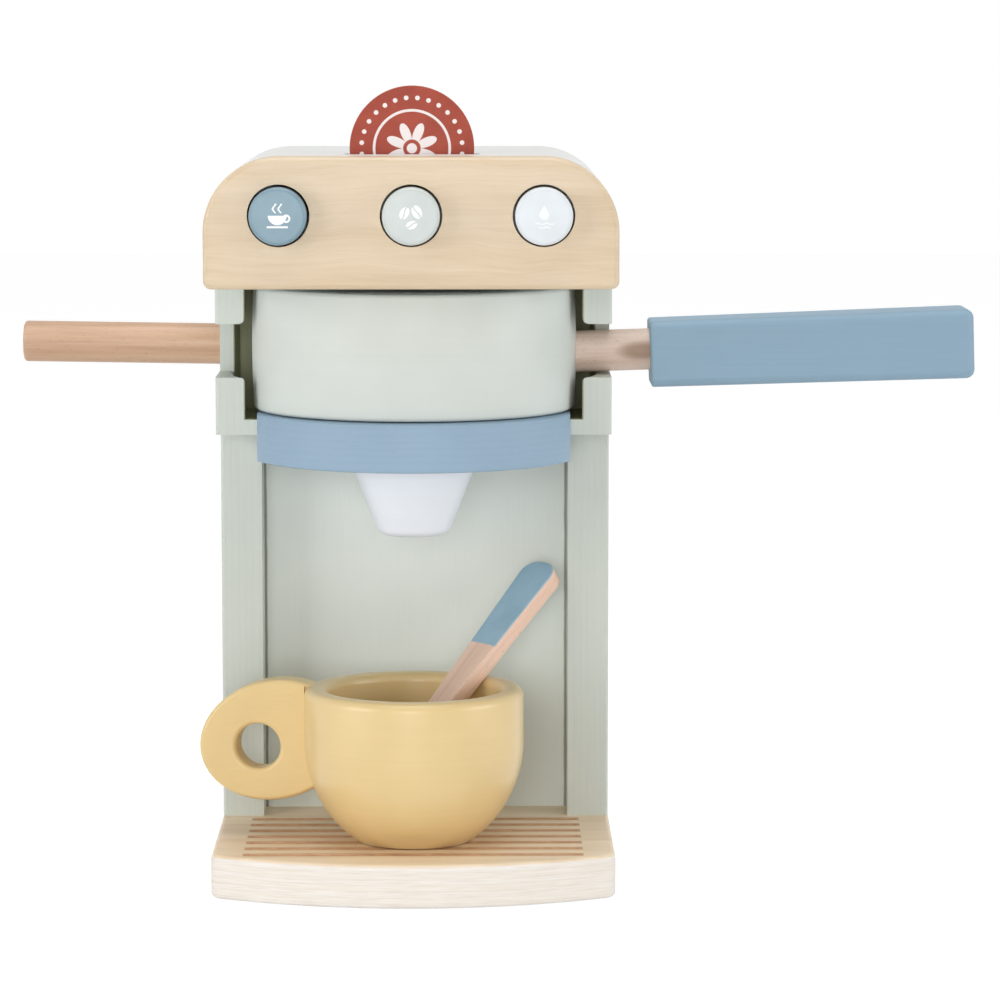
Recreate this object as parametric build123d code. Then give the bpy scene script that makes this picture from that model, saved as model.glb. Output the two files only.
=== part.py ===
from build123d import *
import math
import os

# Toy coffee maker in painted and natural wood, in millimetres.
# Frame: origin at the centre of the base's underside, front towards -Y, +Z up.

# ---- clearances
rest_gap = 0.3          # a loose piece above what it rests on
glue_gap = 0.05         # between curved faces that are glued together
press_gap = 0.65        # button cap in its hole, all round
stop_gap = 0.2          # button flange behind the front plate

# ---- base board
base_overhang = 0.3     # past the body, at each side
base_depth = 93.0
base_thickness = 12.0
base_front_radius = 112.0
base_corner_radius = 4.0
base_edge_radius = 1.5
groove_count = 7
groove_pitch = 8.4
groove_width = 2.6
groove_depth = 0.7
groove_margin = 9.5     # from a groove's end to the side of the base
groove_inset = 15.1     # from the front of the base to the first groove

# ---- body: two side panels and the back panel between them
column_depth = 22.0
side_thickness = 11.6
back_thickness = 8.0
body_edge_radius = 0.8
arm_reach = 22.5        # how far the arms stand in front of the columns
arm_floor = 4.4         # thickness of the arm under the drum's seat
notch_room_below = 0.3
notch_room_above = 2.6
notch_upper_radius = 1.8
notch_lower_radius = 1.3
seat_room = 5.5         # between the drum and its seat, at the side
seat_wall = 4.1         # of the side panel, where the seat is widest
seat_shift = 6.1        # the seat's centre lies behind the drum's axis
seat_depth = 8.5        # how far the seat runs into the columns

# ---- shelf and spout
serving_height = 104.5  # from the base to the shelf's underside
shelf_thickness = 13.5
shelf_radius = 46.0
shelf_front = 31.0      # the shelf's front, before the frame's origin
shelf_edge_radius = 0.8
spout_top_diameter = 35.0
spout_tip_diameter = 19.0
spout_height = 20.0
spout_setback = 29.5    # the spout's axis, behind the shelf's front
spout_tip_radius = 3.0
seat_drop = 1.8         # the seat's floor lies below the shelf's top

# ---- filter holder
drum_radius = 45.4
drum_height = 34.4
drum_bulge = 0.5        # the turned side swells by this much
drum_edge_radius = 1.2
drum_back = 22.3        # from the drum's axis to its flat back
drum_back_gap = 0.3
neck_diameter = 11.6
neck_height = 14.1      # the neck's axis above the drum's underside, at the drum's axis
handle_rise = 1.9       # degrees, outward and up
neck_seat = 20.0        # length of the neck in the drum, and in the grip
grip_start = 66.0       # from the drum's axis, along the neck
grip_length = 90.3
grip_height = 18.4
grip_end_height = 19.4
grip_depth = 20.0
grip_drop = 0.9         # the grip's middle lies below the neck's axis
grip_edge_radius = 2.5
grip_root_radius = 0.8  # round the end that the neck enters

# ---- coffee pads and their slots
pad_radius = 16.8
pad_thickness = 5.0
pad_edge_radius = 0.4
slot_side_gap = 0.5
slot_radius_gap = 1.7
slot_break = 0.9        # the drum's slot passes through the underside by this much
slot_inset = 8.5        # from the drum's front to its slot's middle plane
head_slot_depth = 15.5

# ---- head
head_overhang = 0.3     # past the body, at each side
head_height = 35.1
head_depth = 92.0
head_gap = 2.6          # over the drum
head_top_radius = 20.0
head_bottom_radius = 2.2
plate_thickness = 12.0
plate_edge_radius = 1.5
spring_board_thickness = 9.5
spring_pocket_depth = 8.0
spring_pocket_diameter = 21.0

# ---- buttons
button_diameter = 15.3
button_margin = 20.1    # from an outer button's axis to the head's side
button_height = 19.6    # axis above the head's underside
button_proud = 5.0
button_edge_radius = 1.0
flange_diameter = 19.2
flange_thickness = 1.5
spring_diameter = 9.0
spring_wire = 0.6
spring_turns = 3.5

# ---- side rod
rod_diameter = 11.6
rod_length = 56.5
rod_tenon_diameter = 7.5
rod_tenon_length = 9.0
rod_setback = 8.0       # from the back of the body
rod_height = 16.35      # above the shelf's top, at the body's side
rod_rise = 0.85         # degrees, outward and up
rod_end_radius = 1.1

# ---- dowels and screws
dowel_diameter = 6.0
dowel_length = 16.0
dowel_end_radius = 0.6
head_dowel_length = 40.0
head_dowel_edge = 6.0   # from the head's side
head_dowel_low = 8.7    # outer pair above the head's underside
head_dowel_inner_low = 6.2
body_dowel_diameter = 5.0
body_dowel_length = 24.0
spout_dowel_diameter = 8.0
shelf_dowel_offset = 25.0
screw_diameter = 3.0
screw_length = 32.0
screw_head_diameter = 6.4
screw_head_depth = 2.0
screw_sink = 0.3

# ---- cup
cup_diameter = 60.8
cup_height = 42.6
cup_wall = 6.5
cup_floor = 8.0
cup_shoulder = 28.0     # height at which the side turns upright
cup_foot_cut = 4.9      # how much of the oval form below the shoulder is cut off at the foot
cup_inner_foot = 8.0    # radius of the flat inside
cup_rim_radius = 2.5
cup_front = 9.5         # the cup's axis, before the frame's origin
ear_half_width = 21.5
ear_half_height = 16.7
ear_reach = 38.9        # from the cup's axis to the ear's middle
ear_height = 27.05      # ear's middle above the cup's foot
ear_thickness = 8.4
ear_swing = 10.0        # degrees, towards the back
ear_tilt = 14.0         # degrees, its long axis rising to the bowl
ear_edge_radius = 1.3
finger_hole_diameter = 12.6
finger_hole_out = 4.6
finger_hole_down = 1.8
ear_dowel_diameter = 4.5
ear_dowel_length = 10.0

# ---- spoon
spoon_length = 91.0
spoon_top_width = 12.0
spoon_foot_width = 4.4
spoon_thickness = 5.2
spoon_top_radius = 4.8
spoon_edge_radius = 0.5
spoon_turn = 53.7       # degrees about its own length
spoon_lean = (0.84, 0.80)   # sideways and backwards, for each unit up
spoon_bearing = 46.6    # degrees from +X towards the back, where it crosses the cup's rim
spoon_rim_room = 3.4    # from its axis to the bowl's inside there
spoon_foot_rise = 3.3   # its foot above the floor of the bowl

# ---- places that follow from the sizes
back_y = base_depth / 2
front_y = -base_depth / 2
base_top = base_thickness
body_width = 2 * (drum_radius + seat_room + seat_wall)
base_width = body_width + 2 * base_overhang
head_width = body_width + 2 * head_overhang
side_x = body_width / 2
inner_x = side_x - side_thickness
column_y = back_y - column_depth
back_front_y = back_y - back_thickness
arm_y = column_y - arm_reach
shelf_bottom = base_top + serving_height
shelf_top = shelf_bottom + shelf_thickness
seat_floor = shelf_top - seat_drop
arm_bottom = seat_floor - arm_floor
drum_y = back_front_y - drum_back_gap - drum_back
drum_bottom = shelf_top + rest_gap
drum_top = drum_bottom + drum_height
head_bottom = drum_top + head_gap
head_top = head_bottom + head_height
head_front_y = back_y - head_depth
seat_radius = drum_radius + seat_room
seat_y = drum_y + seat_shift
neck_radius = neck_diameter / 2
neck_z = drum_bottom + neck_height
neck_slope = math.tan(math.radians(handle_rise))
notch_bottom = neck_z + neck_slope * inner_x - neck_radius - notch_room_below
notch_top = neck_z + neck_slope * side_x + neck_radius + notch_room_above
drum_slot_y = drum_y - drum_radius + slot_inset
slot_width = pad_thickness + 2 * slot_side_gap
slot_radius = pad_radius + slot_radius_gap
spring_board_y = head_front_y + plate_thickness
slot_board_y = spring_board_y + spring_board_thickness
rear_block_y = slot_board_y + slot_width
head_slot_y = slot_board_y + slot_width / 2
pocket_floor_y = spring_board_y + spring_pocket_depth
button_z = head_bottom + button_height
button_spacing = head_width / 2 - button_margin
spout_y = spout_setback - shelf_front
rod_y = back_y - rod_setback
rod_z = shelf_top + rod_height
cup_y = -cup_front
cup_z = base_top + rest_gap


# ---- helpers
def board_facing_front(outline, y, thickness):
    """An outline in X and Z, as a board whose front face lies at y."""
    return extrude(Plane.XZ.offset(-y) * outline, amount=-thickness)


def rod_between(start, end, diameter, end_radius=0.0):
    """A round rod from start to end, with rounded ends if a radius is given."""
    line = Vector(*end) - Vector(*start)
    rod = Cylinder(diameter / 2, line.length, align=(Align.CENTER, Align.CENTER, Align.MIN))
    if end_radius > 0:
        rod = fillet(rod.edges().filter_by(GeomType.CIRCLE), end_radius)
    return Plane(origin=start, z_dir=line) * rod


def both_sides(piece):
    """A piece and its mirror image in the middle plane, as one group."""
    return Compound(children=[piece, mirror(piece, about=Plane.YZ)])


# ---- base
def base_outline():
    """Straight back and sides, with a wide arc along the front."""
    half = base_width / 2
    sagitta = base_front_radius - math.sqrt(base_front_radius**2 - half**2)
    corner_y = front_y + sagitta
    edge = Polyline((-half, corner_y), (-half, back_y), (half, back_y), (half, corner_y))
    edge += ThreePointArc((half, corner_y), (0, front_y), (-half, corner_y))
    outline = make_face(edge)
    return fillet(outline.vertices().group_by(Axis.Y)[0], base_corner_radius)


def screw_places():
    """Screws from below: two into each side panel, two into the back panel."""
    column_x = side_x - side_thickness / 2
    near = column_y + screw_head_diameter
    far = back_y - back_thickness / 2
    places = [(x, y) for x in (-column_x, column_x) for y in (near, far)]
    return places + [(-inner_x / 2, far), (inner_x / 2, far)]


def countersunk_form(length, diameter, head_diameter, sink):
    """A shank with a conical head, upwards from the underside of the base."""
    shank = Cylinder(diameter / 2, length, align=(Align.CENTER, Align.CENTER, Align.MIN))
    head = Cone(head_diameter / 2, diameter / 2, screw_head_depth,
                align=(Align.CENTER, Align.CENTER, Align.MIN))
    return Pos(0, 0, sink) * (shank + head)


def milled_line():
    """The form of one line along X, as a round-nosed cutter leaves it, on the base's top."""
    radius = (groove_width**2 / 4 + groove_depth**2) / (2 * groove_depth)
    half = base_width / 2 - groove_margin - groove_width / 2
    line = rod_between((-half, 0, 0), (half, 0, 0), 2 * radius)
    line += Pos(-half, 0, 0) * Sphere(radius)
    line += Pos(half, 0, 0) * Sphere(radius)
    return Pos(0, 0, base_top + radius - groove_depth) * line


def make_base():
    board = extrude(base_outline(), amount=base_thickness)
    rims = board.faces().filter_by(Axis.Z).edges()
    board = fillet(rims, base_edge_radius)
    for i in range(groove_count):
        board -= Pos(0, front_y + groove_inset + i * groove_pitch, 0) * milled_line()
    well = Cylinder(screw_head_diameter / 2, 2 * screw_sink)
    hole = countersunk_form(base_thickness, screw_diameter, screw_head_diameter, screw_sink)
    for x, y in screw_places():
        board -= Pos(x, y, 0) * (hole + well)
    return board


def make_base_screws():
    screw = countersunk_form(screw_length, screw_diameter, screw_head_diameter, screw_sink)
    return Compound(children=[Pos(x, y, 0) * screw for x, y in screw_places()])


# ---- body
def side_profile():
    """A column with an arm at its top, notched from the front, in Y and Z."""
    column = Pos((column_y + back_y) / 2, (base_top + head_bottom) / 2) \
        * Rectangle(column_depth, head_bottom - base_top)
    arm = Pos((arm_y + column_y) / 2, (arm_bottom + head_bottom) / 2) \
        * Rectangle(arm_reach, head_bottom - arm_bottom)
    notch = Pos((arm_y + column_y) / 2, (notch_bottom + notch_top) / 2) \
        * Rectangle(arm_reach, notch_top - notch_bottom)
    return column + arm - notch


def drum_seat():
    """The round room that the drum stands in, down to the seat's floor."""
    height = head_bottom - seat_floor
    room = Pos(0, seat_y, seat_floor + height / 2) * Cylinder(seat_radius, height)
    reach = 2 * seat_radius
    keep = Pos(0, column_y + seat_depth - reach / 2, seat_floor + height / 2) \
        * Box(2 * reach, reach, height)
    return room & keep


def seat_rim(panel, z):
    """The edge of a panel's drum seat where it meets a face at height z."""
    rims = panel.edges().filter_by(GeomType.CIRCLE)
    return rims.filter_by(lambda e: e.radius > drum_radius and abs(e.center().Z - z) < 0.01)


def make_side_panel(side):
    """A side panel: side is -1 on the left and 1 on the right."""
    panel = extrude(Plane.YZ.offset(inner_x) * side_profile(), amount=side_thickness)
    front = panel.edges().filter_by(Axis.Z).filter_by(lambda e: e.center().Y < column_y + 1)
    outer = front.filter_by(lambda e: e.center().X > side_x - 1)
    outer = outer.filter_by(lambda e: e.center().Z < notch_bottom or e.center().Z > notch_top)
    panel = fillet(outer, body_edge_radius)
    panel -= drum_seat()
    panel = fillet(seat_rim(panel, notch_top), notch_upper_radius)
    panel = fillet(seat_rim(panel, notch_bottom), notch_lower_radius)
    if side < 0:
        panel = mirror(panel, about=Plane.YZ)
        panel -= make_rod_form(rod_tenon_diameter, rod_tenon_length)
    for x, y in screw_places():
        if x * side > inner_x:
            panel -= Pos(x, y, 0) * Cylinder(screw_diameter / 2, 2 * (screw_length + screw_sink))
    for dowel in make_shelf_side_dowels().solids() + make_body_dowels().solids():
        if dowel.center().X * side > 0:
            panel -= dowel
    return panel


def make_back_panel():
    width = 2 * inner_x
    height = head_bottom - base_top
    panel = Pos(0, back_y - back_thickness / 2, base_top + height / 2) \
        * Box(width, back_thickness, height)
    for x, y in screw_places():
        if abs(x) < inner_x:
            panel -= Pos(x, y, 0) * Cylinder(screw_diameter / 2, 2 * (screw_length + screw_sink))
    return panel - make_shelf_back_dowels()


def make_shelf():
    """A plate between the side panels, with a round front over the cup."""
    centre_y = shelf_radius - shelf_front
    round_part = Pos(0, centre_y) * Circle(shelf_radius)
    deep = back_front_y + shelf_front
    strip = Pos(0, back_front_y - deep / 2) * Rectangle(2 * inner_x, deep)
    back_part = Pos(0, (centre_y + back_front_y) / 2) \
        * Rectangle(2 * inner_x, back_front_y - centre_y)
    outline = (round_part & strip) + back_part
    plate = extrude(Pos(0, 0, shelf_bottom) * outline, amount=shelf_thickness)
    rims = plate.edges().filter_by(GeomType.CIRCLE)
    plate = fillet(rims, shelf_edge_radius)
    plate -= make_spout_dowel()
    return plate - make_shelf_side_dowels() - make_shelf_back_dowels()


def make_spout():
    cone = Cone(spout_tip_diameter / 2, spout_top_diameter / 2, spout_height,
                align=(Align.CENTER, Align.CENTER, Align.MAX))
    tip = cone.edges().filter_by(GeomType.CIRCLE).sort_by(Axis.Z)[0]
    cone = fillet(tip, spout_tip_radius)
    return Pos(0, spout_y, shelf_bottom) * cone - make_spout_dowel()


def make_spout_dowel():
    half = dowel_length / 2
    return rod_between((0, spout_y, shelf_bottom - half), (0, spout_y, shelf_bottom + half),
                       spout_dowel_diameter)


def make_shelf_side_dowels():
    """One dowel through each side of the shelf into the side panel."""
    z = shelf_bottom + shelf_thickness / 2
    y = column_y + dowel_diameter
    half = dowel_length / 2
    return both_sides(rod_between((inner_x - half, y, z), (inner_x + half, y, z), dowel_diameter))


def make_shelf_back_dowels():
    """Two dowels from the back panel into the shelf."""
    z = shelf_bottom + shelf_thickness / 2
    bite = back_thickness * 0.6
    start = (shelf_dowel_offset, back_front_y + bite - dowel_length, z)
    return both_sides(rod_between(start, (shelf_dowel_offset, back_front_y + bite, z),
                                  dowel_diameter))


def make_shelf_dowels():
    pins = make_shelf_side_dowels().solids() + make_shelf_back_dowels().solids()
    return Compound(children=pins)


def make_body_dowels():
    """One upright dowel from each column into the head."""
    x = side_x - side_thickness / 2
    y = back_y - back_thickness / 2
    half = body_dowel_length / 2
    return both_sides(rod_between((x, y, head_bottom - half), (x, y, head_bottom + half),
                                  body_dowel_diameter))


# ---- side rod
def make_rod_form(diameter, tenon):
    """A rod out of the left panel's side, rising a little outwards, with its inner end in the panel."""
    rise = math.radians(rod_rise)
    out = Vector(-math.cos(rise), 0, math.sin(rise))
    root = Vector(-side_x, rod_y, rod_z)
    start = root - out * tenon
    end = root + out * rod_length
    return rod_between(tuple(start), tuple(end), diameter)


def make_side_rod():
    form = make_rod_form(rod_diameter, rod_end_radius)
    tip = form.edges().filter_by(GeomType.CIRCLE).sort_by(Axis.X)[0]
    form = fillet(tip, rod_end_radius)
    outside = Pos(-side_x - rod_length, rod_y, rod_z) * Box(2 * rod_length, rod_length, rod_length)
    tenon = make_rod_form(rod_tenon_diameter, rod_tenon_length)
    inside = Pos(-side_x + side_thickness, rod_y, rod_z) \
        * Box(2 * side_thickness, rod_length, rod_length)
    return (form & outside) + (tenon & inside)


# ---- head
def head_outline():
    outline = Pos(0, (head_bottom + head_top) / 2) * Rectangle(head_width, head_height)
    outline = fillet(outline.vertices().group_by(Axis.Y)[-1], head_top_radius)
    return fillet(outline.vertices().group_by(Axis.Y)[0], head_bottom_radius)


def button_places():
    return [(-button_spacing, "left"), (0.0, "middle"), (button_spacing, "right")]


def across(x, z, y_start, y_end, diameter):
    """A round hole or rod that runs front to back."""
    return rod_between((x, y_start, z), (x, y_end, z), diameter)


def make_head_dowels():
    """Four long dowels that hold the head's boards together."""
    start = head_front_y + plate_thickness / 2
    end = start + head_dowel_length
    outer_x = head_width / 2 - head_dowel_edge
    pins = []
    for x, low in ((outer_x, head_dowel_low), (button_spacing / 2, head_dowel_inner_low)):
        for side in (-1, 1):
            pins.append(across(side * x, head_bottom + low, start, end, dowel_diameter))
    return Compound(children=pins)


def make_front_plate():
    plate = board_facing_front(head_outline(), head_front_y, plate_thickness)
    rim = plate.faces().sort_by(Axis.Y)[0].edges()
    plate = fillet(rim, plate_edge_radius)
    back = head_front_y + plate_thickness
    hole = button_diameter + 2 * press_gap
    for x, name in button_places():
        plate -= across(x, button_z, head_front_y - 1, back + 1, hole)
    return plate - make_head_dowels()


def make_spring_board():
    """The board behind the front plate, with a blind pocket for each button's flange and spring."""
    board = board_facing_front(head_outline(), spring_board_y, spring_board_thickness)
    for x, name in button_places():
        board -= across(x, button_z, spring_board_y - 1, pocket_floor_y, spring_pocket_diameter)
    return board - make_head_dowels()


def slot_room(lowest, y_start, width):
    """A pad's slot: round at the bottom, down to its lowest point, with upright sides above."""
    middle = lowest + slot_radius
    bottom = across(0, middle, y_start, y_start + width, 2 * slot_radius)
    mouth = Pos(0, y_start + width / 2, middle + slot_radius) \
        * Box(2 * slot_radius, width, 2 * slot_radius)
    return bottom + mouth


def make_slot_board():
    """The board as thick as the pad slot, cut away where the pad stands."""
    board = board_facing_front(head_outline(), slot_board_y, slot_width)
    board -= slot_room(head_top - head_slot_depth, slot_board_y, slot_width)
    return board - make_head_dowels()


def make_rear_block():
    block = board_facing_front(head_outline(), rear_block_y, back_y - rear_block_y)
    rim = block.faces().sort_by(Axis.Y)[-1].edges()
    block = fillet(rim, plate_edge_radius)
    return block - make_head_dowels() - make_body_dowels()


# ---- buttons
def make_button(x):
    """A turned cap that stands proud of the plate, with a flange that keeps it in."""
    plate_back = head_front_y + plate_thickness
    flange_front = plate_back + stop_gap
    cap = across(x, button_z, head_front_y - button_proud, flange_front, button_diameter)
    rim = cap.edges().filter_by(GeomType.CIRCLE).sort_by(Axis.Y)[0]
    cap = fillet(rim, button_edge_radius)
    flange = across(x, button_z, flange_front, flange_front + flange_thickness, flange_diameter)
    return cap + flange


def make_button_spring(x):
    """An open coil between the flange and the pocket's floor."""
    start = spring_board_y + stop_gap + flange_thickness + rest_gap + spring_wire / 2
    end = pocket_floor_y - rest_gap - spring_wire / 2
    radius = (spring_diameter - spring_wire) / 2
    coil = Helix(pitch=(end - start) / spring_turns, height=end - start, radius=radius)
    section = Plane(origin=coil @ 0, z_dir=coil % 0) * RegularPolygon(spring_wire / 2, 6)
    wire = sweep(section, path=coil, is_frenet=True)
    return Plane(origin=(x, start, button_z), z_dir=(0, 1, 0)) * wire


# ---- coffee pads
def make_pad(y, z_bottom):
    """A round wooden coffee pad, standing on its edge."""
    z = z_bottom + pad_radius
    pad = across(0, z, y - pad_thickness / 2, y + pad_thickness / 2, 2 * pad_radius)
    return fillet(pad.edges().filter_by(GeomType.CIRCLE), pad_edge_radius)


# ---- filter holder
def make_drum_form():
    """A turned drum whose side swells a little, cut flat at the back."""
    top_radius = drum_radius - drum_bulge
    profile = Polyline((top_radius, 0), (0, 0), (0, drum_height), (top_radius, drum_height))
    profile += ThreePointArc((top_radius, drum_height), (drum_radius, drum_height / 2),
                             (top_radius, 0))
    form = Rot(0, 0, 90) * revolve(Plane.XZ * make_face(profile), Axis.Z)
    form = fillet(form.edges().filter_by(GeomType.CIRCLE), drum_edge_radius)
    flat = Pos(0, drum_back + drum_radius, drum_height / 2) \
        * Box(4 * drum_radius, 2 * drum_radius, 2 * drum_height)
    return Pos(0, drum_y, drum_bottom) * (form - flat)


def neck_point(distance):
    """A point on the neck's axis, at a distance from the drum's axis."""
    rise = math.radians(handle_rise)
    return (distance * math.cos(rise), drum_y, neck_z + distance * math.sin(rise))


def make_neck():
    return rod_between(neck_point(drum_radius - neck_seat), neck_point(grip_start + neck_seat),
                       neck_diameter)


def make_drum():
    drum = make_drum_form()
    drum -= slot_room(drum_bottom - slot_break, drum_slot_y - slot_width / 2, slot_width)
    return drum - make_neck()


def make_grip():
    """A long block with rounded edges, a little higher at its free end."""
    rise = math.radians(handle_rise)
    start = Plane(origin=neck_point(grip_start), x_dir=(0, 1, 0),
                  z_dir=(math.cos(rise), 0, math.sin(rise)))
    end = start.offset(grip_length)
    sections = [start * Pos(0, -grip_drop) * Rectangle(grip_depth, grip_height),
                end * Pos(0, -grip_drop) * Rectangle(grip_depth, grip_end_height)]
    block = loft(sections)
    root = block.faces().sort_by(Axis.X)[0].edges()
    block = fillet(block.edges() - root, grip_edge_radius)
    block = fillet(block.faces().sort_by(Axis.X)[0].edges(), grip_root_radius)
    return block - make_neck()


# ---- cup
def bowl_form(grow):
    """The bowl's outer form, filled, and larger all round by grow: an oval under the
    shoulder, cut flat at the foot."""
    radius = cup_diameter / 2 + grow
    depth = cup_shoulder + cup_foot_cut + grow
    turn = math.asin(cup_shoulder / depth)
    places = [(radius * math.cos(turn * share), cup_shoulder - depth * math.sin(turn * share))
              for share in (1, 0.5, 0)]
    side = Spline(*places, tangents=[(radius * math.sin(turn), depth * math.cos(turn)), (0, 1)])
    edge = side + Polyline(places[-1], (radius, cup_height), (0, cup_height), (0, 0), places[0])
    return revolve(Plane.XZ * make_face(edge), Axis.Z)


def bowl_room():
    """The room inside the bowl."""
    radius = cup_diameter / 2 - cup_wall
    turn = (radius - cup_inner_foot) * 0.9
    low = cup_floor
    side = Spline((cup_inner_foot, low), (radius, low + turn), tangents=[(1, 0.05), (0, 1)])
    edge = side + Polyline((radius, low + turn), (radius, cup_height), (0, cup_height), (0, low),
                           (cup_inner_foot, low))
    return revolve(Plane.XZ * make_face(edge), Axis.Z)


def place_cup(piece):
    return Pos(0, cup_y, cup_z) * piece


def make_ear_dowel_form():
    """The dowel between the bowl's wall and the ear, before it is placed."""
    start = cup_diameter / 2 - cup_wall / 2
    pin = rod_between((-start, 0, ear_height), (-start - ear_dowel_length, 0, ear_height),
                      ear_dowel_diameter)
    return Rot(0, 0, -ear_swing) * pin


def make_cup_bowl():
    bowl = bowl_form(0) - bowl_room()
    rims = bowl.edges().filter_by(GeomType.CIRCLE).group_by(Axis.Z)[-1]
    bowl = fillet(rims, cup_rim_radius)
    return place_cup(bowl - make_ear_dowel_form())


def make_cup_handle():
    """An oval ear with a finger hole, hollowed where it meets the bowl."""
    oval = Pos(-ear_reach, ear_height) * Rot(0, 0, ear_tilt) \
        * Ellipse(ear_half_width, ear_half_height)
    hole = Pos(-ear_reach - finger_hole_out, ear_height - finger_hole_down) \
        * Circle(finger_hole_diameter / 2)
    ear = board_facing_front(oval - hole, -ear_thickness / 2, ear_thickness)
    rims = ear.faces().filter_by(Axis.Y).edges()
    ear = fillet(rims, ear_edge_radius)
    ear = Rot(0, 0, -ear_swing) * ear
    return place_cup(ear - bowl_form(glue_gap) - make_ear_dowel_form())


# ---- spoon
def spoon_plane():
    """The spoon's own frame: origin at its foot, Y along it, Z out of its painted face."""
    along = Vector(spoon_lean[0], spoon_lean[1], 1).normalized()
    facing = Vector(0, -1, 0)
    facing = (facing - along * facing.dot(along)).normalized()
    sideways = along.cross(facing)
    turn = math.radians(spoon_turn)
    face = facing * math.cos(turn) - sideways * math.sin(turn)
    across_face = sideways * math.cos(turn) + facing * math.sin(turn)
    reach = cup_diameter / 2 - cup_wall - spoon_rim_room
    bearing = math.radians(spoon_bearing)
    rim_point = Vector(reach * math.cos(bearing), cup_y + reach * math.sin(bearing),
                       cup_z + cup_height)
    sunk = (cup_height - cup_floor - spoon_foot_rise) / along.Z
    return Plane(origin=rim_point - along * sunk, x_dir=across_face, z_dir=face)


def make_spoon():
    """A flat stirrer that widens evenly towards its blunt round top."""
    top = spoon_top_width / 2
    foot = spoon_foot_width / 2
    edge = Polyline((-foot, foot), (-top, spoon_length), (top, spoon_length), (foot, foot))
    edge += ThreePointArc((foot, foot), (0, 0), (-foot, foot))
    outline = make_face(edge)
    outline = fillet(outline.vertices().group_by(Axis.Y)[-1], spoon_top_radius)
    stick = extrude(outline, amount=spoon_thickness / 2, both=True)
    rims = stick.faces().filter_by(Axis.Z).edges()
    stick = fillet(rims, spoon_edge_radius)
    return spoon_plane() * stick


def main():
    os.makedirs("parts", exist_ok=True)
    nodes = {
        "base_board": make_base(),
        "base_screws": make_base_screws(),
        "left_side_panel": make_side_panel(-1),
        "right_side_panel": make_side_panel(1),
        "back_panel": make_back_panel(),
        "shelf_plate": make_shelf(),
        "shelf_dowels": make_shelf_dowels(),
        "spout_cone": make_spout(),
        "spout_dowel": make_spout_dowel(),
        "side_rod": make_side_rod(),
        "body_dowels": make_body_dowels(),
        "head_front_plate": make_front_plate(),
        "head_spring_board": make_spring_board(),
        "head_slot_board": make_slot_board(),
        "head_rear_block": make_rear_block(),
        "head_dowels": make_head_dowels(),
        "filter_drum": make_drum(),
        "filter_neck": make_neck(),
        "filter_grip": make_grip(),
        "pad_in_filter": make_pad(drum_slot_y, shelf_top + rest_gap),
        "pad_in_head": make_pad(head_slot_y, head_top - head_slot_depth + rest_gap),
        "cup_bowl": make_cup_bowl(),
        "cup_handle": make_cup_handle(),
        "cup_dowel": place_cup(make_ear_dowel_form()),
        "spoon": make_spoon(),
    }
    for x, name in button_places():
        nodes["button_" + name] = make_button(x)
        nodes["button_spring_" + name] = make_button_spring(x)
    for name, piece in nodes.items():
        export_step(piece, "parts/" + name + ".step")


main()
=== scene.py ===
import math

import bmesh
import bpy
import numpy as np
from mathutils import Matrix, Vector


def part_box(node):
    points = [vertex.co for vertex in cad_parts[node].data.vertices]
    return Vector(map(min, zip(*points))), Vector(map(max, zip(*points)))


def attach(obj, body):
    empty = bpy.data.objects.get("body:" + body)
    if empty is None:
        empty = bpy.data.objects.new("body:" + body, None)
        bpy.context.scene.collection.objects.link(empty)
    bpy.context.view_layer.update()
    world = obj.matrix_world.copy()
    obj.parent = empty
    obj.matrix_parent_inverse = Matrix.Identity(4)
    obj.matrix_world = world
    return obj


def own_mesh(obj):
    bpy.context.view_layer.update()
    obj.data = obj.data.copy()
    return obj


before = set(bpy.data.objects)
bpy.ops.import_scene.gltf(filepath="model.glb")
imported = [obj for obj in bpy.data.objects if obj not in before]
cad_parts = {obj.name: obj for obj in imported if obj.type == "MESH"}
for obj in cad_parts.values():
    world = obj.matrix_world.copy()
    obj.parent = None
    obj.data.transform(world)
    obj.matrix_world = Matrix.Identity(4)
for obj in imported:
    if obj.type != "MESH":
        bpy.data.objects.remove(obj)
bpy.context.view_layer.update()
MM = 0.001


def box_of(piece):
    """A CAD node's lowest and highest corners, in millimetres."""
    low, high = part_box(piece)
    return Vector(low) / MM, Vector(high) / MM


def middle_of(piece):
    """The middle of a CAD node's box, in millimetres."""
    low, high = box_of(piece)
    return (low + high) / 2


# ---- places that the finishes follow, in millimetres in the toy's own frame
BASE_TOP = box_of("base_board")[1].z
BASE_LAYER = 1.7        # thickness of a layer in the base's plywood
PANEL_LAYER = 1.9       # and in the painted boards
GROOVE_FRONT = -31.4
GROOVE_PITCH = 8.4
GROOVE_COUNT = 7
GROOVE_WIDTH = 2.6
GROOVE_HALF_LENGTH = 46.3

# The round seat for the drum in the side panels: its axis, radius, floor and back end.
SEAT_Y = 22.0
SEAT_RADIUS = 50.9
SEAT_FLOOR = 128.2
SEAT_BACK = 33.0

# A point on each round rod's line, the neck's being on the drum's axis, and how steeply it
# rises outwards.
NECK_THROUGH = (0.0, 15.9, 144.4)
NECK_RISE = math.radians(1.9)
NECK_KNOT = 64.0        # along the neck from the drum's axis
ROD_THROUGH = (-55.0, 38.5, 146.35)
ROD_RISE = math.radians(0.85)

SPOON_THROUGH = (14.1, 5.4, 54.9)
SPOON_LEAN = (0.84, 0.80, 1.0)
SPOON_TURN = math.radians(53.7)
SPOON_PAINT = 11.1      # along the spoon from the point above, where its paint starts
SPOON_FACE = 2.15       # from its middle to just under its flat faces

PAD_FACE = 2.2          # from a pad's middle to just under its flat faces

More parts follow.
